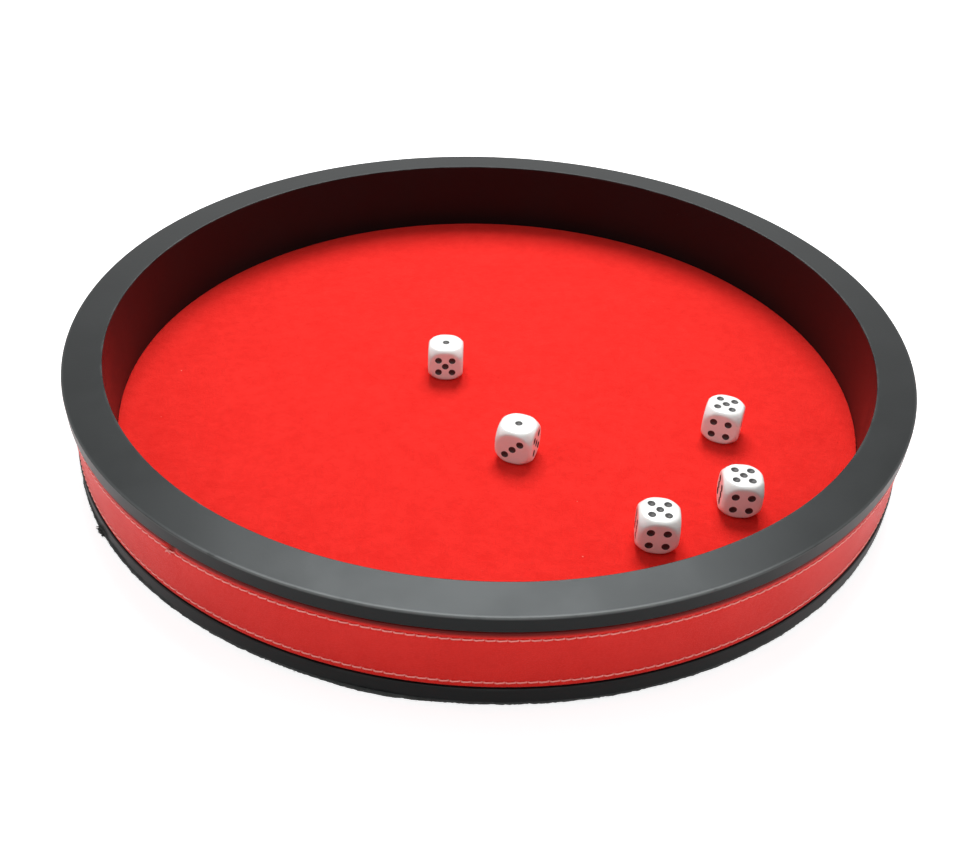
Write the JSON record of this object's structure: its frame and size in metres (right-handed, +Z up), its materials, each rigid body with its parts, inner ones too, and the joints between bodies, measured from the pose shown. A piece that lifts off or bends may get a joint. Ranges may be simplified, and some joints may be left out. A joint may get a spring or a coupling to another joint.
{
  "type": "dice tray",
  "caption": "Round low dice tray with a felt floor, a flat lacquered rim and a stitched leatherette band, with dice lying in it.",
  "frame": {"origin": "middle of the underside, on the surface that the tray stands on", "axes": "+Z up, out of the open top; the dice lie on the +X and -Y side, and the band's joint is at +Y"},
  "size_m": [0.36, 0.36, 0.0412],
  "materials": {
    "black_lacquer": "black satin lacquer on turned fibreboard",
    "hardboard": "smooth brown hardboard",
    "screw_steel": "zinc plated",
    "red_felt": "short red wool-like nap",
    "dark_felt": "thin dark grey felt",
    "red_leatherette": "fine grained satin leatherette",
    "backing_cloth": "woven backing",
    "thread": "pale twisted thread",
    "white_plastic": "polished white resin",
    "pip_paint": "black enamel in the pips"
  },
  "bodies": {
    "tray": {"rim_ring": "black_lacquer", "core_ring": "black_lacquer", "base_ring": "black_lacquer", "floor_board": "hardboard", "board_screws": "screw_steel", "floor_felt": "red_felt", "underside_felt": "dark_felt", "side_band": "red_leatherette", "band_backing": "backing_cloth", "upper_stitching": "thread", "lower_stitching": "thread"},
    "die_1": {"die_1": "white_plastic", "die_1_pips": "pip_paint"},
    "die_2": {"die_2": "white_plastic", "die_2_pips": "pip_paint"},
    "die_3": {"die_3": "white_plastic", "die_3_pips": "pip_paint"},
    "die_4": {"die_4": "white_plastic", "die_4_pips": "pip_paint"},
    "die_5": {"die_5": "white_plastic", "die_5_pips": "pip_paint"}
  },
  "joints": [
    {"name": "die_1_lift", "type": "slide", "parent": "tray", "child": "die_1", "axis": [0, 0, 1], "range_m": [0, 0.05]},
    {"name": "die_2_lift", "type": "slide", "parent": "tray", "child": "die_2", "axis": [0, 0, 1], "range_m": [0, 0.05]},
    {"name": "die_3_lift", "type": "slide", "parent": "tray", "child": "die_3", "axis": [0, 0, 1], "range_m": [0, 0.05]},
    {"name": "die_4_lift", "type": "slide", "parent": "tray", "child": "die_4", "axis": [0, 0, 1], "range_m": [0, 0.05]},
    {"name": "die_5_lift", "type": "slide", "parent": "tray", "child": "die_5", "axis": [0, 0, 1], "range_m": [0, 0.05]}
  ]
}
